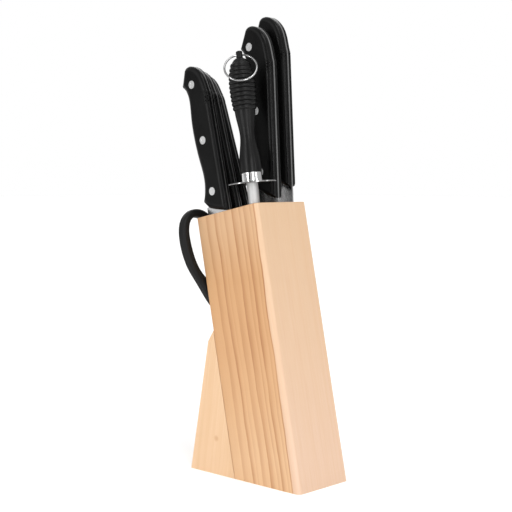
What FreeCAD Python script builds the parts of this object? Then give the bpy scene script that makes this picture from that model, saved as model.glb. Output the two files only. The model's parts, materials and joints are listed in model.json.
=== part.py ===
import FreeCAD, Part
import math
import os

# Knife block with five knives, a sharpening steel and a pair of scissors.
# Units are millimetres. +Z is up and the origin is the centre of the base on the table.
# The block leans towards -Y, its front, where the wedge foot and the scissors are.
# Width runs along X. All tools slide in planes of constant X.
#
# Slab coordinates (x, s, l) describe the leaning block: s is the depth from the rear face
# towards the front face, and l runs along the lean, zero at the top face and negative below it.

Vector = FreeCAD.Vector

# Block
BLOCK_WIDTH = 58.0
BLOCK_DEPTH = 68.9
BLOCK_LENGTH = 230.0
BLOCK_LEAN = 11.64
BASE_LENGTH = 121.8
EDGE_ROUND = 1.0
REAR_CORNER_ROUND = 4.0
WEDGE_RISE = 121.5
WEDGE_LIP_DEPTH = 7.7
WEDGE_LIP_DROP = 7.6

# Slots: their widths, and the play that each blade has at its edges and tip
SMALL_SLOT = 2.0
LARGE_SLOT = 2.4
SLOT_END_PLAY = 0.8
SLOT_BOTTOM_PLAY = 1.0
FAR = 400.0

# Small knives: one handle size, fanned out by their lean
SMALL_HANDLE_LENGTH = 119.7
SMALL_HANDLE_WIDTH = 28.7
SMALL_HANDLE_THICKNESS = 10.2
SMALL_TANG = 1.2
SMALL_BLADE_WIDTH = 25.8
SMALL_BLADE_DEPTH = 120.0
SMALL_SPINE_DEPTH = 36.0
SMALL_GAP = 6.3
SMALL_FACE_BEVEL = 3.2
SMALL_EDGE_BEVEL = 2.0

# Large knives
LARGE_HANDLE_LENGTH = 142.0
LARGE_HANDLE_WIDTH = 33.5
LARGE_HANDLE_THICKNESS = 12.0
LARGE_TANG = 1.5
LARGE_BLADE_WIDTH = 41.0
LARGE_BLADE_DEPTH = 200.0
LARGE_SPINE_DEPTH = 8.5
LARGE_LEAN = 2.9
LARGE_FACE_BEVEL = 2.8
LARGE_EDGE_BEVEL = 2.2
LARGE_SLOT_TAPER = 4.0
LARGE_A_GAP = 4.5
LARGE_B_GAP = 13.8

RIVET_RADIUS = 3.35
RIVET_DIMPLE_RADIUS = 1.9
RIVET_DIMPLE_DEPTH = 0.25

# Sharpening steel
STEEL_X = 16.1
STEEL_DEPTH = 14.0
STEEL_LEAN = 8.0
STEEL_TURN = -46.3
ROD_RADIUS = 4.55
ROD_DEPTH = 188.0
ROD_TIP_CHAMFER = 1.5
ROD_TANG_RADIUS = 3.0
ROD_TANG_TOP = 70.0
CHANNEL_DEPTH = 9.8
GUARD_HEIGHT = 17.6
GUARD_THICKNESS = 1.1
GUARD_HALF_LENGTH = 19.5
GUARD_HALF_WIDTH = 12.0
GUARD_RIM_ROUND = 0.38
FERRULE_RADIUS = 8.5
FERRULE_HEIGHT = 7.7
FERRULE_ROUND = 0.6
STEEL_HANDLE_RADIUS = 10.9
STEEL_BULGE_HEIGHT = 97.0
STEEL_BULGE_BELOW = 38.0
STEEL_BULGE_ABOVE = 26.0
RIB_START = 77.0
RIB_PITCH = 3.5
RIB_COUNT = 11
RIB_GROOVE = 0.9
KNOB_RADIUS = 2.7
KNOB_BASE = 119.6
KNOB_TOP = 125.4
KNOB_SHOULDER = 123.8
KNOB_FLAT_RADIUS = 0.8
RING_HOLE_HEIGHT = 122.2
RING_HOLE_RADIUS = 1.3
RING_RADIUS = 13.0
RING_WIRE_RADIUS = 0.8
RING_SWING = 28.0

# The smooth part of the steel's handle between the ferrule and the ribs, as (radius, height)
STEEL_WAIST = [(8.7, 33.0), (8.3, 39.0), (7.1, 46.8), (6.1, 55.5), (6.8, 64.4), (7.9, 71.5)]

# Scissors, in the plane parallel to the block's front face: x across, l along the lean
SCISSOR_PIVOT = -88.0
SCISSOR_TIP = -172.0
SCISSOR_BLADE = 1.5
SCISSOR_BLADE_GAP = 0.3
SCISSOR_REAR_GAP = 0.6
SCISSOR_GRIP_GAP = 0.8
SCISSOR_GRIP_THICKNESS = 8.0
SCISSOR_GRIP_ROUND = 2.6
PIVOT_RADIUS = 2.5
PIVOT_PLAY = 0.05
PIVOT_HEAD_RADIUS = 4.8
PIVOT_HEAD_HEIGHT = 1.4
PIVOT_HEAD_PLAY = 0.1
PIVOT_HEAD_ROUND = 0.5
POCKET_HALF_WIDTH = 23.0
POCKET_DEPTH = 4.8
POCKET_BOTTOM = -174.0

# Dowels that hold the wedge to the block
DOWEL_RADIUS = 4.0
DOWEL_HALF_LENGTH = 15.0
DOWEL_LEVEL = -195.0

# Edges closer than this count as being in one place
SAME_PLACE = 0.001

# Places across the width, as distances in from the +X side
SMALL_A_IN = 6.8
SMALL_B_IN = 19.0
SMALL_C_IN = 29.4
LARGE_A_IN = 36.0
LARGE_B_IN = 53.2
DOWELS_IN = (12.9, 44.6)

TOOL_LEANS = {"small_knife_a": 13.1, "small_knife_b": 16.0, "small_knife_c": 18.8,
              "large_knife_a": LARGE_LEAN, "large_knife_b": LARGE_LEAN}

# Handle outlines as shares of the handle's width (from spine to front) and length (up from where
# the gap to the block is measured). The foot runs from the spine to the heel, the grip edge from
# the finger guard to the hook, and the corner and dome round the butt back to the spine.
SMALL_FOOT = [(0.0, -0.049), (0.36, -0.027), (0.70, 0.0)]
SMALL_GRIP_EDGE = [(0.90, 0.052), (0.79, 0.115), (0.735, 0.20), (0.80, 0.34), (0.865, 0.50),
                   (0.85, 0.66), (0.815, 0.77), (0.87, 0.835), (1.0, 0.875)]
SMALL_RIVETS = [(0.42, 0.105), (0.46, 0.465), (0.545, 0.865)]
LARGE_FOOT = [(0.0, 0.0), (0.34, 0.026), (0.68, 0.075)]
LARGE_GRIP_EDGE = [(0.90, 0.12), (0.80, 0.17), (0.745, 0.24), (0.80, 0.36), (0.865, 0.50),
                   (0.85, 0.66), (0.815, 0.77), (0.87, 0.835), (1.0, 0.875)]
LARGE_RIVETS = [(0.42, 0.155), (0.50, 0.508), (0.65, 0.879)]
BUTT_CORNER = [(0.83, 0.968), (0.76, 0.992), (0.66, 1.0)]
BUTT_DOME = [(0.66, 1.0), (0.42, 0.984), (0.23, 0.943), (0.10, 0.88), (0.028, 0.80), (0.0, 0.70)]

# Cutting edges from heel to tip, as shares of the blade's width and length
SMALL_BELLY = [(1.0, 0.0), (1.0, 0.30), (0.94, 0.58), (0.75, 0.80), (0.43, 0.94), (0.08, 1.0)]
LARGE_BELLY = [(1.0, 0.0), (0.965, 0.15), (0.90, 0.32), (0.80, 0.52), (0.65, 0.72),
               (0.40, 0.90), (0.06, 1.0)]
SPINE_DROP = 12.0
TANG_OVERLAP = 1.5
EDGE_LAND = 0.15
GRIND_MARGIN = 1.0

# Right-hand half of the scissors, as (x, l)
BLADE_OUTLINE = [(-9.0, -84.0), (-10.4, -96.0), (-9.6, -120.0), (-6.0, -150.0), (1.0, SCISSOR_TIP),
                 (4.0, -150.0), (5.0, -100.0), (9.0, -84.0), (15.0, -68.0), (11.0, -60.0),
                 (5.0, -70.0), (-3.0, -80.0)]
GRIP_OUTER = [(26.0, 8.2), (35.7, 5.1), (42.2, -1.9), (45.2, -13.0), (44.6, -27.0),
              (40.9, -40.2), (33.2, -54.0), (25.8, -67.0), (18.0, -76.5), (9.0, -80.0),
              (2.6, -72.0), (2.4, -52.0), (2.8, -32.0), (4.6, -12.0), (13.0, 3.9)]
GRIP_INNER = [(26.0, 1.3), (33.0, -1.0), (36.8, -8.0), (37.3, -20.0), (34.8, -34.0),
              (28.5, -46.5), (19.5, -52.5), (12.2, -46.0), (10.4, -32.0), (11.4, -14.0),
              (17.0, -2.0)]


def rear_y():
    return BASE_LENGTH / 2


def slab_point(x, s, l):
    """A point of the leaning block in the part's frame."""
    lean = math.radians(BLOCK_LEAN)
    along = BLOCK_LENGTH + l
    y = rear_y() - s * math.cos(lean) - along * math.sin(lean)
    z = along * math.cos(lean) - s * math.sin(lean)
    return Vector(x, y, z)


def tool_frame(x, s, lean, turn=0.0):
    """The frame of a tool: its origin is where its axis meets the top face, z runs up the axis
    and -y points to the front."""
    tilt = FreeCAD.Rotation(Vector(1, 0, 0), lean)
    spin = FreeCAD.Rotation(Vector(0, 0, 1), turn)
    return FreeCAD.Placement(slab_point(x, s, 0), tilt.multiply(spin))


def placed(shape, frame):
    moved = shape.copy()
    moved.Placement = frame.multiply(moved.Placement)
    return moved


def side_point(front, height, x=0.0):
    """A point in a tool's frame, from its distance to the front and its height."""
    return Vector(x, -front, height)


def polygon_wire(points):
    return Part.makePolygon(points + [points[0]])


def extruded(wire, thickness):
    return Part.Face(wire).extrude(Vector(thickness, 0, 0))


def line_edge(start, end):
    return Part.LineSegment(start, end).toShape()


def spline_edge(points):
    curve = Part.BSplineCurve()
    curve.interpolate(points)
    return curve.toShape()


def revolved(edges):
    return Part.Face(Part.Wire(edges)).revolve(Vector(0, 0, 0), Vector(0, 0, 1), 360)


def save(name, shape):
    shape.exportStep("parts/" + name + ".step")
    print(name, len(shape.Solids), "solids", round(shape.Volume, 1), "valid", shape.isValid())


# Block ---------------------------------------------------------------------------------------

def block_profile(x):
    """The slab's outline in the plane of constant x: rear face, top, front face and base."""
    toe = BLOCK_DEPTH / math.cos(math.radians(BLOCK_LEAN))
    return [Vector(x, rear_y(), 0), slab_point(x, 0, 0), slab_point(x, BLOCK_DEPTH, 0),
            Vector(x, rear_y() - toe, 0)]


def layer(inner, outer):
    """A full layer of the block between two distances in from the +X side."""
    start = BLOCK_WIDTH / 2 - outer
    return extruded(polygon_wire(block_profile(start)), outer - inner)


def rounded_block():
    """The whole block with its upright and top edges rounded, which each layer is trimmed to."""
    whole = layer(0, BLOCK_WIDTH)
    upright = [edge for edge in whole.Edges if edge.BoundBox.ZLength > BLOCK_LENGTH / 2]
    rear_corner = [edge for edge in upright if edge.BoundBox.XMin > 0
                   and edge.BoundBox.YMax > rear_y() - SAME_PLACE]
    whole = whole.makeFillet(REAR_CORNER_ROUND, rear_corner)
    top = [edge for edge in whole.Edges if edge.BoundBox.ZMin > BLOCK_LENGTH / 2]
    other_corners = [edge for edge in whole.Edges
                     if edge.BoundBox.ZLength > BLOCK_LENGTH / 2
                     and (edge.BoundBox.XMax < 0 or edge.BoundBox.YMax < rear_y() - BLOCK_DEPTH / 2)]
    return whole.makeFillet(EDGE_ROUND, top + other_corners)


def trimmed(shape, envelope):
    return Part.makeCompound([solid.common(envelope).Solids[0] for solid in shape.Solids])


def slanted_region(x, rear, front, thickness):
    """A prism between two lines, each given as (depth at the top face, lean of the line)."""
    corners = []
    for (depth, lean), levels in ((rear, (FAR, -FAR)), (front, (-FAR, FAR))):
        slope = math.tan(math.radians(lean - BLOCK_LEAN))
        for level in levels:
            corners.append(slab_point(x, depth + level * slope, level))
    return extruded(polygon_wire(corners), thickness)


def slot_strips(inner, outer, rear, front, depth):
    """The strips that leave a slot open in a layer: one behind it, one in front and one below."""
    sheet = layer(inner, outer)
    start = BLOCK_WIDTH / 2 - outer
    thickness = outer - inner
    behind = slanted_region(start, (-FAR, rear[1]), rear, thickness)
    ahead = slanted_region(start, front, (FAR, front[1]), thickness)
    middle = slanted_region(start, rear, front, thickness)
    below = Part.makeBox(thickness, FAR, FAR, Vector(0, -FAR / 2, -FAR - depth))
    core = middle.common(placed(below, tool_frame(start, rear[0], rear[1])))
    strips = [sheet.common(region).Solids[0] for region in (behind, ahead, core)]
    return Part.makeCompound(strips)


def knife_slot(centre, width, spine, blade_width, lean, depth, taper=0.0):
    """Strips round one knife's slot. The taper brings the slot's front end upright."""
    rear = (spine - SLOT_END_PLAY, lean)
    front = (spine + blade_width + SLOT_END_PLAY, lean + taper)
    return slot_strips(centre - width / 2, centre + width / 2, rear, front,
                       depth + SLOT_BOTTOM_PLAY)


def dowel(inner):
    base = slab_point(BLOCK_WIDTH / 2 - inner, BLOCK_DEPTH - DOWEL_HALF_LENGTH, DOWEL_LEVEL)
    lean = math.radians(BLOCK_LEAN)
    forward = Vector(0, -math.cos(lean), -math.sin(lean))
    return Part.makeCylinder(DOWEL_RADIUS, 2 * DOWEL_HALF_LENGTH, base, forward)


def wedge_foot(dowels):
    """The wedge glued to the front face, with the scissors' pocket cut into its joint face."""
    x = -BLOCK_WIDTH / 2
    joint_toe = block_profile(x)[3]
    lean = math.radians(BLOCK_LEAN)
    crest = joint_toe + Vector(0, -math.sin(lean), math.cos(lean)) * WEDGE_RISE
    level = (crest.z + BLOCK_DEPTH * math.sin(lean)) / math.cos(lean) - BLOCK_LENGTH
    lip = slab_point(x, BLOCK_DEPTH + WEDGE_LIP_DEPTH, level - WEDGE_LIP_DROP)
    toe = Vector(x, rear_y() - BASE_LENGTH, 0)
    body = extruded(polygon_wire([joint_toe, crest, lip, toe]), BLOCK_WIDTH)
    corners = [(BLOCK_DEPTH, 0), (BLOCK_DEPTH + POCKET_DEPTH, 0),
               (BLOCK_DEPTH + POCKET_DEPTH, POCKET_BOTTOM), (BLOCK_DEPTH, POCKET_BOTTOM)]
    pocket = [slab_point(-POCKET_HALF_WIDTH, depth, level) for depth, level in corners]
    body = body.cut(extruded(polygon_wire(pocket), 2 * POCKET_HALF_WIDTH))
    for pin in dowels:
        body = body.cut(pin)
    return body


def block_nodes():
    nodes = {}
    small_half = SMALL_SLOT / 2
    large_half = LARGE_SLOT / 2
    dowels = [dowel(inner) for inner in DOWELS_IN]
    nodes["board_right_side"] = layer(0, SMALL_A_IN - small_half)
    nodes["board_right_middle"] = layer(SMALL_B_IN + small_half, SMALL_C_IN - small_half)
    nodes["board_divider"] = layer(SMALL_C_IN + small_half, LARGE_A_IN - large_half)
    nodes["board_left_middle"] = layer(LARGE_A_IN + large_half, LARGE_B_IN - large_half)
    nodes["board_left_side"] = layer(LARGE_B_IN + large_half, BLOCK_WIDTH)
    for name, centre in (("a", SMALL_A_IN), ("b", SMALL_B_IN), ("c", SMALL_C_IN)):
        lean = TOOL_LEANS["small_knife_" + name]
        nodes["slot_strips_small_" + name] = knife_slot(
            centre, SMALL_SLOT, SMALL_SPINE_DEPTH, SMALL_BLADE_WIDTH, lean, SMALL_BLADE_DEPTH)
    for name, centre in (("a", LARGE_A_IN), ("b", LARGE_B_IN)):
        nodes["slot_strips_large_" + name] = knife_slot(
            centre, LARGE_SLOT, LARGE_SPINE_DEPTH, LARGE_BLADE_WIDTH, LARGE_LEAN,
            LARGE_BLADE_DEPTH, LARGE_SLOT_TAPER)
    half = CHANNEL_DEPTH / 2
    nodes["channel_strips_steel"] = slot_strips(
        SMALL_A_IN + small_half, SMALL_B_IN - small_half, (STEEL_DEPTH - half, STEEL_LEAN),
        (STEEL_DEPTH + half, STEEL_LEAN), ROD_DEPTH + SLOT_BOTTOM_PLAY)
    envelope = rounded_block()
    nodes = {name: trimmed(shape, envelope) for name, shape in nodes.items()}
    for name, pin in (("channel_strips_steel", dowels[0]), ("board_left_middle", dowels[1])):
        nodes[name] = nodes[name].cut(pin)
    nodes["wedge_foot"] = wedge_foot(dowels)
    nodes["foot_dowels"] = Part.makeCompound(dowels)
    return nodes


# Knives --------------------------------------------------------------------------------------

def handle_wire(kind, gap):
    """The outline of a handle in its tool frame, at x = 0."""
    def at(share):
        return side_point(share[0] * kind["handle_width"], gap + share[1] * kind["length"])
    foot = [at(share) for share in kind["foot"]]
    grip = [at(share) for share in kind["grip_edge"]]
    corner = [at(share) for share in BUTT_CORNER]
    dome = Part.BSplineCurve()
    dome.interpolate([at(share) for share in BUTT_DOME], InitialTangent=Vector(0, 1, 0),
                     FinalTangent=Vector(0, 0, -1))
    edges = [spline_edge(foot),
             line_edge(foot[-1], grip[0]),
             spline_edge(grip),
             line_edge(grip[-1], corner[0]),
             Part.Arc(*corner).toShape(),
             dome.toShape(),
             line_edge(at(BUTT_DOME[-1]), foot[0])]
    return Part.Wire(edges)


def scale(wire, inner, outer, bevels):
    """One handle scale from x = inner to x = outer, bevelled round its outer face."""
    blank = extruded(wire, outer - inner)
    blank.translate(Vector(inner, 0, 0))
    rim = [edge for edge in blank.Edges
           if max(abs(edge.BoundBox.XMin - outer), abs(edge.BoundBox.XMax - outer)) < SAME_PLACE]
    return blank.makeChamfer(bevels[0], bevels[1], rim)


def rivet_hole(front, height, half_thickness):
    return Part.makeCylinder(RIVET_RADIUS, 2 * half_thickness,
                             side_point(front, height, -half_thickness), Vector(1, 0, 0))


def rivet(front, height, half_thickness):
    """A rivet right through the handle, dished a little at both ends."""
    body = rivet_hole(front, height, half_thickness)
    for end, way in ((half_thickness, -1), (-half_thickness, 1)):
        dimple = Part.makeCylinder(RIVET_DIMPLE_RADIUS, RIVET_DIMPLE_DEPTH,
                                   side_point(front, height, end), Vector(way, 0, 0))
        body = body.cut(dimple)
    return body


def blade_outline(kind, gap):
    """The blade's outline, from under the handle's foot to its tip."""
    width = kind["blade_width"]
    heel = gap + TANG_OVERLAP
    neck_share, neck_rise = kind["foot"][-1]
    neck = side_point(neck_share * kind["handle_width"], heel + neck_rise * kind["length"])
    reach = heel + kind["depth"]
    edge = [side_point(share * width, heel - drop * reach) for share, drop in kind["belly"]]
    spine_top = side_point(0, neck.z)
    spine_end = side_point(0, SPINE_DROP - kind["depth"])
    edges = [line_edge(spine_top, spine_end),
             line_edge(spine_end, edge[-1]),
             spline_edge(edge[::-1]),
             line_edge(edge[0], neck),
             line_edge(neck, spine_top)]
    return Part.Wire(edges)


def grind(kind):
    """A wedge section, thick at the spine and thin at the cutting edge, as long as the blade."""
    half_tang = kind["tang"] / 2
    beyond = kind["blade_width"] + GRIND_MARGIN
    section = [Vector(0, GRIND_MARGIN, 0), Vector(kind["tang"], GRIND_MARGIN, 0),
               Vector(half_tang + EDGE_LAND, -beyond, 0), Vector(half_tang - EDGE_LAND, -beyond, 0)]
    wedge = Part.Face(polygon_wire(section)).extrude(Vector(0, 0, 2 * FAR))
    wedge.translate(Vector(0, 0, -FAR))
    return wedge


def knife(kind, gap):
    """Blade with full tang, two scales and the rivets, in the knife's own frame."""
    half_tang = kind["tang"] / 2
    half_handle = kind["thickness"] / 2
    outline = handle_wire(kind, gap)
    blade = extruded(blade_outline(kind, gap), kind["tang"]).common(grind(kind))
    steel = blade.fuse(extruded(outline, kind["tang"])).removeSplitter()
    steel.translate(Vector(-half_tang, 0, 0))
    scales = {"right": scale(outline, half_tang, half_handle, kind["bevels"]),
              "left": scale(outline, -half_tang, -half_handle, kind["bevels"])}
    places = [(share[0] * kind["handle_width"], gap + share[1] * kind["length"], half_handle)
              for share in kind["rivets"]]
    for hole in [rivet_hole(*place) for place in places]:
        steel = steel.cut(hole)
        scales = {side: part.cut(hole) for side, part in scales.items()}
    return {"blade": steel, "scale_right": scales["right"], "scale_left": scales["left"],
            "rivets": Part.makeCompound([rivet(*place) for place in places])}


SMALL_KNIFE = {"length": SMALL_HANDLE_LENGTH, "handle_width": SMALL_HANDLE_WIDTH,
               "thickness": SMALL_HANDLE_THICKNESS, "tang": SMALL_TANG,
               "blade_width": SMALL_BLADE_WIDTH, "depth": SMALL_BLADE_DEPTH,
               "bevels": (SMALL_EDGE_BEVEL, SMALL_FACE_BEVEL), "belly": SMALL_BELLY,
               "foot": SMALL_FOOT, "grip_edge": SMALL_GRIP_EDGE, "rivets": SMALL_RIVETS}
LARGE_KNIFE = {"length": LARGE_HANDLE_LENGTH, "handle_width": LARGE_HANDLE_WIDTH,
               "thickness": LARGE_HANDLE_THICKNESS, "tang": LARGE_TANG,
               "blade_width": LARGE_BLADE_WIDTH, "depth": LARGE_BLADE_DEPTH,
               "bevels": (LARGE_EDGE_BEVEL, LARGE_FACE_BEVEL), "belly": LARGE_BELLY,
               "foot": LARGE_FOOT, "grip_edge": LARGE_GRIP_EDGE, "rivets": LARGE_RIVETS}


def tool_x(inner):
    return BLOCK_WIDTH / 2 - inner


def knife_nodes():
    nodes = {}
    places = [("small_knife_a", SMALL_KNIFE, SMALL_A_IN, SMALL_SPINE_DEPTH, SMALL_GAP),
              ("small_knife_b", SMALL_KNIFE, SMALL_B_IN, SMALL_SPINE_DEPTH, SMALL_GAP),
              ("small_knife_c", SMALL_KNIFE, SMALL_C_IN, SMALL_SPINE_DEPTH, SMALL_GAP),
              ("large_knife_a", LARGE_KNIFE, LARGE_A_IN, LARGE_SPINE_DEPTH, LARGE_A_GAP),
              ("large_knife_b", LARGE_KNIFE, LARGE_B_IN, LARGE_SPINE_DEPTH, LARGE_B_GAP)]
    for name, kind, inner, spine, gap in places:
        frame = tool_frame(tool_x(inner), spine, TOOL_LEANS[name])
        for piece, shape in knife(kind, gap).items():
            nodes[name + "_" + piece] = placed(shape, frame)
    return nodes


# Sharpening steel ----------------------------------------------------------------------------

def bulge_radius(height):
    """The steel handle's radius round its widest part, which is half an ellipse each way."""
    half_length = STEEL_BULGE_ABOVE if height > STEEL_BULGE_HEIGHT else STEEL_BULGE_BELOW
    share = (height - STEEL_BULGE_HEIGHT) / half_length
    return STEEL_HANDLE_RADIUS * math.sqrt(1 - share * share)


def ring_line(radius, height):
    """A point of a turned profile, which is then revolved about the axis."""
    return Vector(radius, 0, height)


def steel_handle(foot):
    """The turned handle: a flare, a smooth waist, ribs over the bulge, a dome and a knob."""
    ribs_end = RIB_START + RIB_COUNT * RIB_PITCH
    last = bulge_radius(ribs_end) - RIB_GROOVE
    waist = [(FERRULE_RADIUS, foot)] + STEEL_WAIST + [(bulge_radius(RIB_START) - RIB_GROOVE, RIB_START)]
    edges = [line_edge(ring_line(0, foot), ring_line(FERRULE_RADIUS, foot)),
             spline_edge([ring_line(radius, height) for radius, height in waist])]
    for number in range(RIB_COUNT):
        low = RIB_START + number * RIB_PITCH
        middle = low + RIB_PITCH / 2
        high = low + RIB_PITCH
        edges.append(Part.Arc(ring_line(bulge_radius(low) - RIB_GROOVE, low),
                              ring_line(bulge_radius(middle), middle),
                              ring_line(bulge_radius(high) - RIB_GROOVE, high)).toShape())
    dome_middle = ring_line(0.62 * last + 0.38 * KNOB_RADIUS, 0.42 * ribs_end + 0.58 * KNOB_BASE)
    knob_turn = ring_line(0.8 * KNOB_RADIUS, 0.25 * KNOB_SHOULDER + 0.75 * KNOB_TOP)
    edges += [Part.Arc(ring_line(last, ribs_end), dome_middle,
                       ring_line(KNOB_RADIUS, KNOB_BASE)).toShape(),
              line_edge(ring_line(KNOB_RADIUS, KNOB_BASE), ring_line(KNOB_RADIUS, KNOB_SHOULDER)),
              Part.Arc(ring_line(KNOB_RADIUS, KNOB_SHOULDER), knob_turn,
                       ring_line(KNOB_FLAT_RADIUS, KNOB_TOP)).toShape(),
              line_edge(ring_line(KNOB_FLAT_RADIUS, KNOB_TOP), ring_line(0, KNOB_TOP)),
              line_edge(ring_line(0, KNOB_TOP), ring_line(0, foot))]
    cross_hole = Part.makeCylinder(RING_HOLE_RADIUS, 4 * KNOB_RADIUS,
                                   Vector(-2 * KNOB_RADIUS, 0, RING_HOLE_HEIGHT), Vector(1, 0, 0))
    return revolved(edges).cut(cross_hole)


def steel_guard():
    """The flat oval guard plate under the ferrule."""
    oval = Part.Ellipse(Vector(0, 0, GUARD_HEIGHT), GUARD_HALF_LENGTH, GUARD_HALF_WIDTH)
    plate = Part.Face(Part.Wire(oval.toShape())).extrude(Vector(0, 0, GUARD_THICKNESS))
    rim = [edge for edge in plate.Edges if edge.BoundBox.ZLength < SAME_PLACE]
    return plate.makeFillet(GUARD_RIM_ROUND, rim)


def steel_ring():
    """The wire ring through the knob, hanging at the angle that it rests at."""
    ring = Part.makeTorus(RING_RADIUS, RING_WIRE_RADIUS, Vector(0, 0, 0), Vector(0, 1, 0))
    ring.translate(Vector(0, 0, -RING_RADIUS))
    ring.rotate(Vector(0, 0, 0), Vector(1, 0, 0), RING_SWING)
    ring.translate(Vector(0, 0, RING_HOLE_HEIGHT))
    return ring


def steel_nodes():
    ferrule_foot = GUARD_HEIGHT + GUARD_THICKNESS
    rod = Part.makeCylinder(ROD_RADIUS, ROD_DEPTH + GUARD_HEIGHT, Vector(0, 0, -ROD_DEPTH))
    tip = [edge for edge in rod.Edges if edge.BoundBox.ZMax < 1 - ROD_DEPTH]
    rod = rod.makeChamfer(ROD_TIP_CHAMFER, tip)
    tang = Part.makeCylinder(ROD_TANG_RADIUS, ROD_TANG_TOP - GUARD_HEIGHT,
                             Vector(0, 0, GUARD_HEIGHT))
    ferrule = Part.makeCylinder(FERRULE_RADIUS, FERRULE_HEIGHT, Vector(0, 0, ferrule_foot))
    circles = [edge for edge in ferrule.Edges if len(edge.Vertexes) == 1]
    ferrule = ferrule.makeFillet(FERRULE_ROUND, circles)
    handle = steel_handle(ferrule_foot + FERRULE_HEIGHT)
    shapes = {"steel_rod": rod.fuse(tang), "steel_guard": steel_guard().cut(tang),
              "steel_ferrule": ferrule.cut(tang), "steel_handle": handle.cut(tang),
              "steel_ring": steel_ring()}
    frame = tool_frame(STEEL_X, STEEL_DEPTH, STEEL_LEAN, STEEL_TURN)
    return {name: placed(shape, frame) for name, shape in shapes.items()}


# Scissors ------------------------------------------------------------------------------------

def mirrored(points, side):
    return [(side * x, l) for x, l in points]


def flat_spline(points, depth, closed=False):
    curve = Part.BSplineCurve()
    curve.interpolate([Vector(x, -depth, l) for x, l in points], PeriodicFlag=closed)
    return curve.toShape()


def scissor_blade(side, depth):
    """One blade with its shank, which runs up into the grip on its own side."""
    outline = [Vector(x, -depth, l) for x, l in mirrored(BLADE_OUTLINE, side)]
    return Part.Face(polygon_wire(outline)).extrude(Vector(0, -SCISSOR_BLADE, 0))


def scissor_grip(side):
    """A moulded grip: an oval finger loop that narrows into the shank."""
    outer = Part.Wire(flat_spline(mirrored(GRIP_OUTER, side), SCISSOR_GRIP_GAP, True))
    inner = Part.Wire(flat_spline(mirrored(GRIP_INNER, side), SCISSOR_GRIP_GAP, True))
    way = Vector(0, -SCISSOR_GRIP_THICKNESS, 0)
    body = Part.Face(outer).extrude(way).cut(Part.Face(inner).extrude(way))
    rim = [edge for edge in body.Edges
           if edge.BoundBox.YLength < SAME_PLACE and edge.Length > SCISSOR_GRIP_THICKNESS]
    return body.makeFillet(SCISSOR_GRIP_ROUND, rim)


def scissor_nodes():
    rear = SCISSOR_REAR_GAP
    front = rear + SCISSOR_BLADE + SCISSOR_BLADE_GAP
    outside = front + SCISSOR_BLADE
    axis = Vector(0, -1, 0)
    shaft = Part.makeCylinder(PIVOT_RADIUS, outside + PIVOT_HEAD_PLAY - rear,
                              Vector(0, -rear, SCISSOR_PIVOT), axis)
    head = Part.makeCylinder(PIVOT_HEAD_RADIUS, PIVOT_HEAD_HEIGHT,
                             Vector(0, -outside - PIVOT_HEAD_PLAY, SCISSOR_PIVOT), axis)
    head = head.makeFillet(PIVOT_HEAD_ROUND, [head.Edges[0]])
    bore = Part.makeCylinder(PIVOT_RADIUS + PIVOT_PLAY, 2 * outside,
                             Vector(0, outside / 2, SCISSOR_PIVOT), axis)
    fixed = scissor_blade(1, rear)
    moving = scissor_blade(-1, front)
    shapes = {"scissors_blade_right": fixed.cut(shaft), "scissors_blade_left": moving.cut(bore),
              "scissors_grip_right": scissor_grip(1).cut(fixed),
              "scissors_grip_left": scissor_grip(-1).cut(moving),
              "scissors_pivot": shaft.fuse(head)}
    tilt = FreeCAD.Rotation(Vector(1, 0, 0), BLOCK_LEAN)
    frame = FreeCAD.Placement(slab_point(0, BLOCK_DEPTH, 0), tilt)
    return {name: placed(shape, frame) for name, shape in shapes.items()}


def main():
    os.makedirs("parts", exist_ok=True)
    nodes = {}
    for group in (block_nodes(), knife_nodes(), steel_nodes(), scissor_nodes()):
        nodes.update(group)
    for name, shape in nodes.items():
        save(name, shape)


main()
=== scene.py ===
import json
import math

import bmesh
import bpy
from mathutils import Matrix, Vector


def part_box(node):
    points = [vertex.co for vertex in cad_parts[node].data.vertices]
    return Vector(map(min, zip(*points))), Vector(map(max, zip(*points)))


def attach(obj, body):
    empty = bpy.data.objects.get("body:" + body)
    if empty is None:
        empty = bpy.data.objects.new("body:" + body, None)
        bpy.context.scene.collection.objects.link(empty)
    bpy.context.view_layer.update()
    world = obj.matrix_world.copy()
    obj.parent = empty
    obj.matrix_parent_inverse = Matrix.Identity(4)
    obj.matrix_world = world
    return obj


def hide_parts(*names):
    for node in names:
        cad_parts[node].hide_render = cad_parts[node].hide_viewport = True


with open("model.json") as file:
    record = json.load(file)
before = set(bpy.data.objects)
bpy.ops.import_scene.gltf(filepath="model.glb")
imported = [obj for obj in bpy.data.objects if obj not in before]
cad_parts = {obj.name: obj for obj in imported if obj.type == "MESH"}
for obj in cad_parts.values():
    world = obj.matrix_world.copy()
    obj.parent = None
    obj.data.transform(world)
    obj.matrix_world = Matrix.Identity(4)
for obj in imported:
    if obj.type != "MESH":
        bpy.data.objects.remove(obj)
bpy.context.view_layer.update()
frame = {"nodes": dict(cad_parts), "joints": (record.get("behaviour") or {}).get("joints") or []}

# Looks of the knife block: materials, rounded handle scales, studio and camera. Lengths are metres.
# Inside materials, places and the sizes of features are millimetres, and bump heights are metres.

joints = {joint["name"]: joint for joint in frame["joints"]}
MM = 0.001
ORIGIN = (0.0, 0.0, 0.0)


def draw_axis(joint):
    return Vector(joints[joint]["axis"]).normalized()


def lean_of(axis):
    """How far an axis leans from upright towards the front, about X."""
    return math.atan2(-axis.y, axis.z)


BLOCK_LEAN = lean_of(draw_axis("scissors_draw"))
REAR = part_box("board_right_side")[1].y
SIDE_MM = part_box("board_right_side")[1].x / MM
BLOCK_LENGTH_MM = 230.0


# Shader building ------------------------------------------------------------------------------

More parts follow.
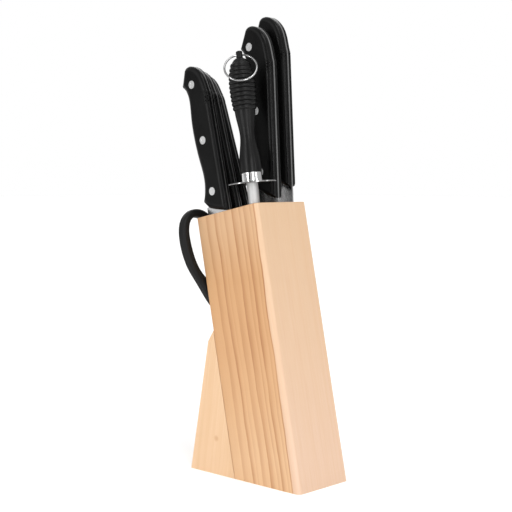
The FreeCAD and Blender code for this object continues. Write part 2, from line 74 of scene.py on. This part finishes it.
class Shader:
    """A node material, built by short calls. Sockets take a plain value or another node's output."""

    def __init__(self, name, **sockets):
        self.material = bpy.data.materials.new(name)
        self.material.use_nodes = True
        self.tree = self.material.node_tree
        self.surface = self.tree.nodes["Principled BSDF"]
        for socket, value in sockets.items():
            self.feed(self.surface, socket.replace("_", " "), value)

    def feed(self, node, socket, value):
        target = node.inputs[socket]
        if isinstance(value, bpy.types.NodeSocket):
            self.tree.links.new(value, target)
        else:
            target.default_value = value

    def node(self, kind, inputs, **settings):
        made = self.tree.nodes.new("ShaderNode" + kind)
        for name, value in settings.items():
            setattr(made, name, value)
        for socket, value in inputs.items():
            self.feed(made, socket, value)
        return made

    def calculate(self, operation, *values):
        return self.node("Math", dict(enumerate(values)), operation=operation).outputs[0]

    def coordinates(self, lean=0.0, origin=ORIGIN):
        """Millimetres from origin, with z along an axis that leans to the front."""
        place = self.node("TexCoord", {}).outputs["Object"]
        away = self.node("VectorMath", {0: place, 1: origin}, operation="SUBTRACT").outputs[0]
        upright = self.node("Mapping", {"Vector": away, "Rotation": (-lean, 0.0, 0.0)}).outputs[0]
        return self.node("Mapping", {"Vector": upright, "Scale": (1 / MM, 1 / MM, 1 / MM)}).outputs[0]

    def parts(self, vector):
        return self.node("SeparateXYZ", {"Vector": vector}).outputs

    def stretched(self, place, x, y, z):
        """The same place with each axis divided by a length, so noise has features of that size."""
        return self.node("Mapping", {"Vector": place, "Scale": (1 / x, 1 / y, 1 / z)}).outputs[0]

    def noise(self, place, detail=2.0, roughness=0.5, distortion=0.0):
        inputs = {"Vector": place, "Scale": 1.0, "Detail": detail, "Roughness": roughness,
                  "Distortion": distortion}
        return self.node("TexNoise", inputs).outputs["Fac"]

    def spread(self, value, low, high, to_low=0.0, to_high=1.0):
        inputs = {"Value": value, "From Min": low, "From Max": high,
                  "To Min": to_low, "To Max": to_high}
        return self.node("MapRange", inputs).outputs[0]

    def ramp(self, share, stops):
        made = self.node("ValToRGB", {"Fac": share})
        elements = made.color_ramp.elements
        elements[0].position, elements[0].color = stops[0][0], (*stops[0][1], 1.0)
        elements[1].position, elements[1].color = stops[-1][0], (*stops[-1][1], 1.0)
        for position, colour in stops[1:-1]:
            elements.new(position).color = (*colour, 1.0)
        return made.outputs["Color"]

    def mix(self, share, first, second, blend="MIX"):
        made = self.node("Mix", {}, data_type="RGBA", blend_type=blend)
        self.feed(made, 0, share)
        for socket, value in ((6, first), (7, second)):
            self.feed(made, socket, (*value, 1.0) if isinstance(value, tuple) else value)
        return made.outputs[2]

    def bump(self, height, distance):
        """Height 0 to 1 raises the surface by distance metres."""
        inputs = {"Height": height, "Distance": distance, "Strength": 1.0}
        self.feed(self.surface, "Normal", self.node("Bump", inputs).outputs[0])

    def colour(self, value):
        self.feed(self.surface, "Base Color", value)


def linear(red, green, blue):
    """A display colour, 0 to 255, as the linear colour that shaders use."""
    shares = [channel / 255 for channel in (red, green, blue)]
    return tuple(c / 12.92 if c < 0.04045 else ((c + 0.055) / 1.055) ** 2.4 for c in shares)


def grey(level):
    return linear(level, level, level)


# Wood -----------------------------------------------------------------------------------------

# Depths from the rear face at which one growth ring ends and the next begins, in millimetres, and
# how dark the end of each ring is
RING_ENDS = (4.4, 8.5, 15.5, 20.5, 28.5, 37.3, 43.0, 48.7, 58.0, 76.0)
RING_DARKNESS = (1.0, 0.50, 0.85, 0.55, 1.0, 0.60, 0.30, 0.95, 0.55, 0.75)
RING_LINE = 0.3
# How dark the rear face's own ring is, the start of a ring, and a ring's middle against its end
FIRST_DARKNESS = 0.75
RING_START_DARKNESS = 0.05
RING_MIDDLE_SHARE = 0.34
# How far the rings wander over long and short distances, and how much they bend across the width
SLOW_WANDER = 5.5
QUICK_WANDER = 2.2
RING_BEND = 0.09
# The side has the rear face's tone up to the first of these ring depths, and none of it past the second
CORNER_RING = (2.9, 3.4)
EARLY_WOOD = linear(204, 168, 133)
LATE_WOOD = linear(158, 108, 66)
# Tones of the rear face and a multiplier for the side face, both from the base to the top
REAR_TONES = ((0.1, linear(200, 171, 148)), (0.5, linear(196, 167, 140)), (0.95, linear(191, 162, 132)))
SIDE_TINTS = ((0.12, (1.0, 1.0, 0.94)), (0.33, (0.91, 0.84, 0.70)), (0.52, (0.84, 0.73, 0.56)),
              (0.75, (0.80, 0.69, 0.51)), (0.94, (0.86, 0.84, 0.78)))


def ring_stops():
    """Ramp stops over all the rings: each one darkens slowly and ends at a sharp line."""
    reach = RING_ENDS[-1]
    stops = [(0.0, (FIRST_DARKNESS,) * 3)]
    start = 0.0
    for end, dark in zip(RING_ENDS, RING_DARKNESS):
        stops.append(((0.55 * start + 0.45 * end) / reach, (RING_MIDDLE_SHARE * dark,) * 3))
        stops.append(((end - RING_LINE) / reach, (dark,) * 3))
        stops.append((min(1.0, (end + RING_LINE) / reach), (RING_START_DARKNESS,) * 3))
        start = end
    return stops


def wood_facing(shader):
    """How much a surface faces up or down the grain, and how much it faces the rear."""
    facing = shader.node("TexCoord", {}).outputs["Normal"]
    turned = shader.node("Mapping", {"Vector": facing, "Rotation": (-BLOCK_LEAN, 0.0, 0.0)}).outputs[0]
    _, to_rear, along = shader.parts(turned)
    end_face = shader.spread(shader.calculate("ABSOLUTE", along), 0.75, 0.95)
    return end_face, shader.spread(to_rear, 0.55, 0.8)


def block_wood():
    shader = Shader("block_wood", Roughness=0.5)
    place = shader.coordinates(BLOCK_LEAN, origin=(0.0, REAR, 0.0))
    across, rearward, along = shader.parts(place)
    depth = shader.calculate("MULTIPLY", rearward, -1.0)
    height = shader.calculate("DIVIDE", along, BLOCK_LENGTH_MM)
    # The rings run with the grain, wander a little along it, and bend slightly across the width.
    slow = shader.noise(shader.stretched(place, 60.0, 40.0, 90.0), detail=1.0)
    quick = shader.noise(shader.stretched(place, 14.0, 9.0, 26.0), detail=3.0)
    slow, quick = shader.calculate("SUBTRACT", slow, 0.5), shader.calculate("SUBTRACT", quick, 0.5)
    wander = shader.calculate("MULTIPLY_ADD", slow, SLOW_WANDER, depth)
    wander = shader.calculate("MULTIPLY_ADD", quick, QUICK_WANDER, wander)
    low_down = shader.spread(height, 1.0, 0.0, 0.0, -3.0)
    near_rear = shader.spread(depth, 4.0, 34.0, 1.0, 0.0)
    rings = shader.calculate("MULTIPLY_ADD", low_down, near_rear, wander)
    bend = shader.calculate("MULTIPLY", shader.calculate("SUBTRACT", across, SIDE_MM), RING_BEND)
    rings = shader.calculate("MULTIPLY_ADD", bend, bend, rings)
    lateness = shader.ramp(shader.calculate("DIVIDE", rings, RING_ENDS[-1]), ring_stops())
    # The late wood fades in and out along the grain.
    fade = shader.noise(shader.stretched(place, 30.0, 6.0, 70.0), detail=2.0)
    lateness = shader.calculate("MULTIPLY", lateness, shader.spread(fade, 0.3, 0.65, 0.55, 1.0))
    fibre = shader.noise(shader.stretched(place, 0.7, 0.7, 30.0), detail=4.0, roughness=0.65)
    streak = shader.noise(shader.stretched(place, 3.5, 2.5, 120.0), detail=2.0)
    side = shader.mix(lateness, EARLY_WOOD, LATE_WOOD)
    side = shader.mix(1.0, side, shader.ramp(height, SIDE_TINTS), "MULTIPLY")
    # The rear face is cut almost along one ring, so it shows hardly any figure.
    end_face, rear_face = wood_facing(shader)
    faint = shader.noise(shader.stretched(place, 2.2, 30.0, 260.0), detail=2.0)
    rear = shader.mix(shader.spread(faint, 0.5, 0.8, 0.0, 0.25), shader.ramp(height, REAR_TONES),
                      linear(186, 144, 112))
    near_corner = shader.spread(rings, *CORNER_RING, 1.0, 0.0)
    tone = shader.mix(shader.calculate("MAXIMUM", rear_face, near_corner), side, rear)
    tone = shader.mix(shader.spread(fibre, 0.3, 0.7, 0.0, 0.16), tone, linear(174, 128, 91))
    tone = shader.mix(shader.spread(streak, 0.35, 0.75, 0.0, 0.16), tone, linear(188, 149, 109))
    # End grain on the top and the base is darker and finely pitted.
    pores = shader.noise(shader.stretched(place, 0.5, 0.5, 4.0), detail=3.0, roughness=0.7)
    end_tone = shader.mix(shader.spread(pores, 0.35, 0.65), linear(181, 140, 101), linear(157, 113, 75))
    end_tone = shader.mix(shader.calculate("MULTIPLY", lateness, 0.6), end_tone, linear(135, 91, 56))
    shader.colour(shader.mix(shader.calculate("MULTIPLY", end_face, 0.8), tone, end_tone))
    shader.feed(shader.surface, "Roughness", shader.spread(fibre, 0.2, 0.8, 0.42, 0.62))
    shader.bump(shader.calculate("MULTIPLY_ADD", lateness, -0.5, fibre), 0.00012)
    return shader.material


# The wedge's grain leans back, and there is one small knot in its side, which fades out from the
# first of these radii to the second
WEDGE_LEAN = math.radians(-8.0)
KNOT_PLACE = (29.0, 26.0, 34.0)
KNOT_RADII = (2.6, 4.6)


def wedge_wood():
    shader = Shader("wedge_wood", Roughness=0.5)
    place = shader.coordinates(WEDGE_LEAN, origin=(0.0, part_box("wedge_foot")[0].y, 0.0))
    slow = shader.noise(shader.stretched(place, 40.0, 8.0, 90.0), detail=2.0)
    fibre = shader.noise(shader.stretched(place, 0.8, 0.8, 26.0), detail=4.0, roughness=0.65)
    bands = shader.node("TexWave", {"Vector": shader.stretched(place, 40.0, 26.0, 160.0), "Scale": 1.0,
                                    "Distortion": 2.5, "Detail": 2.0, "Detail Scale": 1.0},
                        wave_type="BANDS", bands_direction="Y", wave_profile="SAW").outputs["Fac"]
    tone = shader.mix(shader.spread(slow, 0.3, 0.7), linear(209, 178, 145), linear(202, 168, 132))
    tone = shader.mix(shader.spread(bands, 0.0, 1.0, 0.0, 0.3), tone, linear(193, 154, 113))
    tone = shader.mix(shader.spread(fibre, 0.3, 0.7, 0.0, 0.14), tone, linear(178, 135, 97))
    apart = shader.node("VectorMath", {0: place, 1: KNOT_PLACE}, operation="DISTANCE").outputs["Value"]
    ragged = shader.calculate("MULTIPLY_ADD", slow, 3.0, apart)
    tone = shader.mix(shader.spread(ragged, *KNOT_RADII, 0.55, 0.0), tone, linear(176, 130, 92))
    shader.colour(tone)
    shader.feed(shader.surface, "Roughness", shader.spread(fibre, 0.2, 0.8, 0.42, 0.62))
    shader.bump(fibre, 0.0001)
    return shader.material


def dowel_wood():
    shader = Shader("dowel_wood", Roughness=0.6)
    place = shader.coordinates(BLOCK_LEAN + math.pi / 2)
    fibre = shader.noise(shader.stretched(place, 0.5, 0.5, 12.0), detail=4.0)
    shader.colour(shader.mix(fibre, linear(192, 159, 118), linear(161, 123, 82)))
    shader.bump(fibre, 0.0001)
    return shader.material


# Plastics -------------------------------------------------------------------------------------

def moulded_plastic(name, level, gloss, roughness, texture_mm, texture_height, lean=0.0):
    """Black moulded plastic: a fine spark-eroded texture with slow changes of gloss and tone."""
    shader = Shader(name, Specular_IOR_Level=gloss)
    place = shader.coordinates(lean)
    texture = shader.noise(shader.stretched(place, texture_mm, texture_mm, texture_mm), detail=3.0,
                           roughness=0.6)
    slow = shader.noise(shader.stretched(place, 14.0, 14.0, 30.0), detail=2.0)
    shader.colour(shader.mix(slow, grey(level), grey(level + 6)))
    rough = shader.spread(slow, 0.25, 0.75, roughness - 0.05, roughness + 0.05)
    rough = shader.calculate("MULTIPLY_ADD", shader.calculate("SUBTRACT", texture, 0.5), 0.12, rough)
    shader.feed(shader.surface, "Roughness", rough)
    shader.bump(texture, texture_height)
    return shader.material


# Metals ---------------------------------------------------------------------------------------

# How bright and how rough the edges of a tang are
TANG_LEVEL = 128
TANG_ROUGHNESS = 0.4
# How steeply the foot of a handle rises from the spine towards the front
FOOT_SLOPES = {"small": 0.29, "large": 0.47}


def brushed_steel(name, level, roughness, lean, line, scratch=0.000015, foot=None):
    """Steel with fine lines. Line gives the size of one scratch along x, y and z in millimetres.
    Foot is where a handle begins at the spine, and then how steeply its foot rises towards the
    front: beyond it the steel is a knife's tang, with dull edges."""
    shader = Shader(name, Metallic=1.0)
    place = shader.coordinates(lean, origin=foot[0] if foot else ORIGIN)
    lines = shader.noise(shader.stretched(place, *line), detail=5.0, roughness=0.7)
    slow = shader.noise(shader.stretched(place, 9.0, 9.0, 22.0), detail=2.0)
    tone = shader.mix(lines, grey(level - 26), grey(level + 10))
    tone = shader.mix(shader.spread(slow, 0.35, 0.7, 0.0, 0.35), tone, grey(level - 34))
    rough = shader.spread(lines, 0.25, 0.75, roughness - 0.05, roughness + 0.08)
    if foot:
        _, rearward, along = shader.parts(place)
        tang = shader.spread(shader.calculate("MULTIPLY_ADD", rearward, foot[1], along), -0.3, 0.7)
        tone = shader.mix(tang, tone, grey(TANG_LEVEL))
        rough = shader.calculate("MAXIMUM", rough, shader.calculate("MULTIPLY", tang, TANG_ROUGHNESS))
    shader.colour(tone)
    shader.feed(shader.surface, "Roughness", rough)
    shader.bump(lines, scratch)
    return shader.material


def polished_steel(name, level):
    shader = Shader(name, Metallic=1.0)
    place = shader.coordinates()
    haze = shader.noise(shader.stretched(place, 3.0, 3.0, 3.0), detail=4.0)
    shader.colour(shader.mix(haze, grey(level - 6), grey(level + 6)))
    shader.feed(shader.surface, "Roughness", shader.spread(haze, 0.3, 0.7, 0.07, 0.16))
    shader.bump(haze, 0.000006)
    return shader.material


# Handle scales ----------------------------------------------------------------------------------

KNIVES = ("small_knife_a", "small_knife_b", "small_knife_c", "large_knife_a", "large_knife_b")
SCALE_ROUND = 1.3 * MM
ROUND_STEPS = 4
FLAT_ANGLE = math.radians(0.3)
CREASE_ANGLE = math.radians(18.0)
SHARP_ANGLE = math.radians(32.0)
PAIR_ANGLE = math.radians(8.0)
PAIR_SHAPE_ANGLE = math.radians(60.0)
WELD = 0.001 * MM
TOUCH = 0.02 * MM


def is_bore(face, thickness):
    """Whether a face is a rivet bore's wall, which runs straight through the scale along X."""
    across = [vertex.co.x for vertex in face.verts]
    return abs(face.normal.x) < 0.001 and max(across) - min(across) > 0.99 * thickness


def rounded_scale(knife, side, material):
    """A handle scale with its creases rounded over, in place of the plainly chamfered one."""
    node = knife + "_scale_" + side
    shape = bmesh.new()
    shape.from_mesh(frame["nodes"][node].data)
    bmesh.ops.remove_doubles(shape, verts=shape.verts, dist=WELD)
    bmesh.ops.dissolve_limit(shape, angle_limit=FLAT_ANGLE, verts=shape.verts[:], edges=shape.edges[:])
    bmesh.ops.join_triangles(shape, faces=[face for face in shape.faces if len(face.verts) == 3],
                             angle_face_threshold=PAIR_ANGLE, angle_shape_threshold=PAIR_SHAPE_ANGLE)
    low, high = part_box(node)
    tang_side = low.x if side == "right" else high.x
    creases = [edge for edge in shape.edges
               if edge.calc_face_angle(0.0) > CREASE_ANGLE
               and max(abs(vertex.co.x - tang_side) for vertex in edge.verts) > TOUCH
               and not any(is_bore(face, high.x - low.x) for face in edge.link_faces)]
    bmesh.ops.bevel(shape, geom=creases, offset=SCALE_ROUND, offset_type="OFFSET",
                    segments=ROUND_STEPS, profile=0.5, affect="EDGES", clamp_overlap=False)
    for vertex in shape.verts:
        vertex.co = [min(max(place, least), most) for place, least, most in zip(vertex.co, low, high)]
    mesh = bpy.data.meshes.new(knife + "_grip_" + side)
    shape.to_mesh(mesh)
    shape.free()
    for polygon in mesh.polygons:
        polygon.use_smooth = True
    mesh.set_sharp_from_angle(angle=SHARP_ANGLE)
    mesh.materials.append(material)
    piece = bpy.data.objects.new(mesh.name, mesh)
    bpy.context.scene.collection.objects.link(piece)
    normals = piece.modifiers.new("even_normals", "WEIGHTED_NORMAL")
    normals.keep_sharp = True
    normals.weight = 100
    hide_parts(node)
    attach(piece, knife)


def handle_foot(knife):
    """The lowest point of a handle, at the spine, and how steeply its foot rises from there."""
    low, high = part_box(knife + "_scale_right")
    return ((low.x + high.x) / 2, high.y, low.z), FOOT_SLOPES[knife[:5]]


def dress():
    """Gives every CAD node its finished material."""
    wood = block_wood()
    steel_lean = lean_of(draw_axis("steel_draw"))
    scissor_steel = brushed_steel("scissor_steel", 205, 0.28, BLOCK_LEAN, (0.3, 0.3, 14.0))
    grip = moulded_plastic("scissor_grip_plastic", 14, 0.14, 0.5, 0.6, 0.00006, BLOCK_LEAN)
    ready = {"wedge_foot": wedge_wood(), "foot_dowels": dowel_wood(),
             "steel_handle": moulded_plastic("steel_handle_plastic", 5, 0.17, 0.36, 0.5, 0.00002,
                                             steel_lean),
             "steel_rod": brushed_steel("rod_steel", 192, 0.6, steel_lean, (0.3, 0.3, 3.0), 0.00004),
             # Painted shade: the guard's steel colour is set well below the ferrule's. It stands in for
             # the darker reflections the guard shows, not for a darker metal.
             "steel_guard": polished_steel("guard_steel_painted_dark", 142),
             "steel_ferrule": polished_steel("ferrule_steel", 226),
             # Painted shade: the ring's steel colour is set well below the ferrule's. It stands in for
             # the dark reflections along its wire, not for a darker metal.
             "steel_ring": polished_steel("ring_steel_painted_dark", 148),
             "scissors_pivot": scissor_steel}
    for side in ("right", "left"):
        ready["scissors_blade_" + side] = scissor_steel
        ready["scissors_grip_" + side] = grip
    rivet = brushed_steel("rivet_steel", 226, 0.34, 0.0, (0.4, 0.4, 0.4))
    for knife in KNIVES:
        lean = lean_of(draw_axis(knife + "_draw"))
        ready[knife + "_blade"] = brushed_steel(knife + "_steel", 214, 0.18, lean, (2.0, 20.0, 0.25),
                                                0.000004, handle_foot(knife))
        ready[knife + "_rivets"] = rivet
        plastic = moulded_plastic(knife + "_plastic", 5, 0.12, 0.31, 0.45, 0.00002, lean)
        for side in ("right", "left"):
            ready[knife + "_scale_" + side] = plastic
            rounded_scale(knife, side, plastic)
    for node, thing in frame["nodes"].items():
        material = ready.get(node, wood)
        for place in thing.material_slots:
            place.material = material


# Studio ---------------------------------------------------------------------------------------

FLOOR_SIZE = 12.0
# Suns: azimuth, elevation, strength and angle across, with angles in degrees. Strips: azimuth in
# degrees, width in metres and power in watts.
SUNS = {"key": (155.0, 58.0, 1.15, 30.0), "fill": (75.0, 32.0, 0.45, 45.0),
        "front_fill": (-50.0, 38.0, 0.45, 45.0)}
STRIPS = {"side_strip": (90.0, 0.12, 7.0), "camera_strip": (149.0, 0.08, 7.0),
          "rear_strip": (186.0, 0.12, 3.5)}
STRIP_HEIGHT = 1.2
STRIP_DISTANCE = 1.2
STRIP_CENTRE = Vector((0.0, 0.0, 0.22))
# The sky's brightness runs from the first pair to the second: the sine of the height, brightness
SKY_LOW = (0.03, 0.45)
SKY_HIGH = (0.45, 1.0)
SKY_STRENGTH = 0.8
# The dark band in the sky, in degrees, and how bright it is
FLAG_AZIMUTH = 107.0
FLAG_HALF_WIDTH = 8.0
FLAG_EDGE = 2.0
FLAG_LEVEL = 0.04
CAMERA_PLACE = Vector((0.6717, 0.6289, 0.2435))
CAMERA_HEADING = math.radians(46.3)
CAMERA_DROP = math.radians(3.89)


def placed(name, data):
    thing = bpy.data.objects.new(name, data)
    bpy.context.scene.collection.objects.link(thing)
    return thing


def floor():
    """A wide pale floor under the block."""
    mesh = bpy.data.meshes.new("floor")
    corners = [(-FLOOR_SIZE, -FLOOR_SIZE, 0.0), (FLOOR_SIZE, -FLOOR_SIZE, 0.0),
               (FLOOR_SIZE, FLOOR_SIZE, 0.0), (-FLOOR_SIZE, FLOOR_SIZE, 0.0)]
    mesh.from_pydata(corners, [], [(0, 1, 2, 3)])
    shader = Shader("floor_paint", Roughness=0.85)
    place = shader.coordinates()
    speckle = shader.noise(shader.stretched(place, 60.0, 60.0, 60.0))
    shader.colour(shader.mix(speckle, grey(250), grey(252)))
    mesh.materials.append(shader.material)
    placed("floor", mesh)


def aim(thing, place, target):
    thing.location = place
    thing.rotation_mode = "QUATERNION"
    thing.rotation_quaternion = (Vector(target) - Vector(place)).to_track_quat("-Z", "Y")


def compass(azimuth, elevation):
    """A direction from the object: azimuth 0 is the front, 90 the +X side, 180 the rear."""
    a, e = math.radians(azimuth), math.radians(elevation)
    return Vector((math.sin(a) * math.cos(e), -math.cos(a) * math.cos(e), math.sin(e)))


def sun(name, azimuth, elevation, strength, width):
    light = bpy.data.lights.new(name, "SUN")
    light.energy = strength
    light.angle = math.radians(width)
    aim(placed(name, light), compass(azimuth, elevation), ORIGIN)


def strip(name, azimuth, width, power):
    """An upright soft strip light, which the camera itself doesn't see."""
    light = bpy.data.lights.new(name, "AREA")
    light.shape = "RECTANGLE"
    light.size, light.size_y = width, STRIP_HEIGHT
    light.energy = power
    thing = placed(name, light)
    aim(thing, STRIP_CENTRE + compass(azimuth, 0.0) * STRIP_DISTANCE, STRIP_CENTRE)
    thing.visible_camera = False


def vector_math(tree, operation, first, second=None):
    made = tree.nodes.new("ShaderNodeVectorMath")
    made.operation = operation
    tree.links.new(first, made.inputs[0])
    if second is not None:
        made.inputs[1].default_value = second
    return made


def flag_shade(tree, direction):
    """Dark inside one upright band of the sky, so that polished metal has something to mirror."""
    level = vector_math(tree, "MULTIPLY", direction, (1.0, 1.0, 0.0))
    ahead = vector_math(tree, "NORMALIZE", level.outputs[0])
    towards = vector_math(tree, "DOT_PRODUCT", ahead.outputs[0], compass(FLAG_AZIMUTH, 0.0))
    flag = tree.nodes.new("ShaderNodeMapRange")
    flag.inputs["From Min"].default_value = math.cos(math.radians(FLAG_HALF_WIDTH + FLAG_EDGE))
    flag.inputs["From Max"].default_value = math.cos(math.radians(FLAG_HALF_WIDTH))
    flag.inputs["To Min"].default_value = 1.0
    flag.inputs["To Max"].default_value = FLAG_LEVEL
    tree.links.new(towards.outputs["Value"], flag.inputs["Value"])
    return flag.outputs[0]


def sky():
    """Brighter above than at the horizon. The camera itself sees plain white behind the object."""
    world = bpy.data.worlds.new("studio")
    bpy.context.scene.world = world
    world.use_nodes = True
    tree = world.node_tree
    direction = tree.nodes.new("ShaderNodeTexCoord").outputs["Generated"]
    parts = tree.nodes.new("ShaderNodeSeparateXYZ")
    tree.links.new(direction, parts.inputs[0])
    height = tree.nodes.new("ShaderNodeValToRGB")
    tree.links.new(parts.outputs[2], height.inputs[0])
    for element, (position, level) in zip(height.color_ramp.elements, (SKY_LOW, SKY_HIGH)):
        element.position = position
        element.color = (level, level, level, 1.0)
    shade = vector_math(tree, "SCALE", height.outputs[0])
    tree.links.new(flag_shade(tree, direction), shade.inputs["Scale"])
    shell = tree.nodes["Background"]
    tree.links.new(shade.outputs[0], shell.inputs["Color"])
    shell.inputs["Strength"].default_value = SKY_STRENGTH
    plain = tree.nodes.new("ShaderNodeBackground")
    plain.inputs["Color"].default_value = (1.0, 1.0, 1.0, 1.0)
    choice = tree.nodes.new("ShaderNodeMixShader")
    path = tree.nodes.new("ShaderNodeLightPath")
    tree.links.new(path.outputs["Is Camera Ray"], choice.inputs[0])
    tree.links.new(shell.outputs[0], choice.inputs[1])
    tree.links.new(plain.outputs[0], choice.inputs[2])
    tree.links.new(choice.outputs[0], tree.nodes["World Output"].inputs[0])


def studio():
    floor()
    sky()
    for name, settings in SUNS.items():
        sun(name, *settings)
    for name, settings in STRIPS.items():
        strip(name, *settings)


def camera():
    lens = bpy.data.cameras.new("camera")
    lens.lens = 79.45
    lens.sensor_width = 36.0
    thing = placed("camera", lens)
    forward = Vector((-math.sin(CAMERA_HEADING) * math.cos(CAMERA_DROP),
                      -math.cos(CAMERA_HEADING) * math.cos(CAMERA_DROP), -math.sin(CAMERA_DROP)))
    aim(thing, CAMERA_PLACE, CAMERA_PLACE + forward)
    bpy.context.scene.camera = thing
    bpy.context.scene.view_settings.view_transform = "Standard"


dress()
studio()
camera()
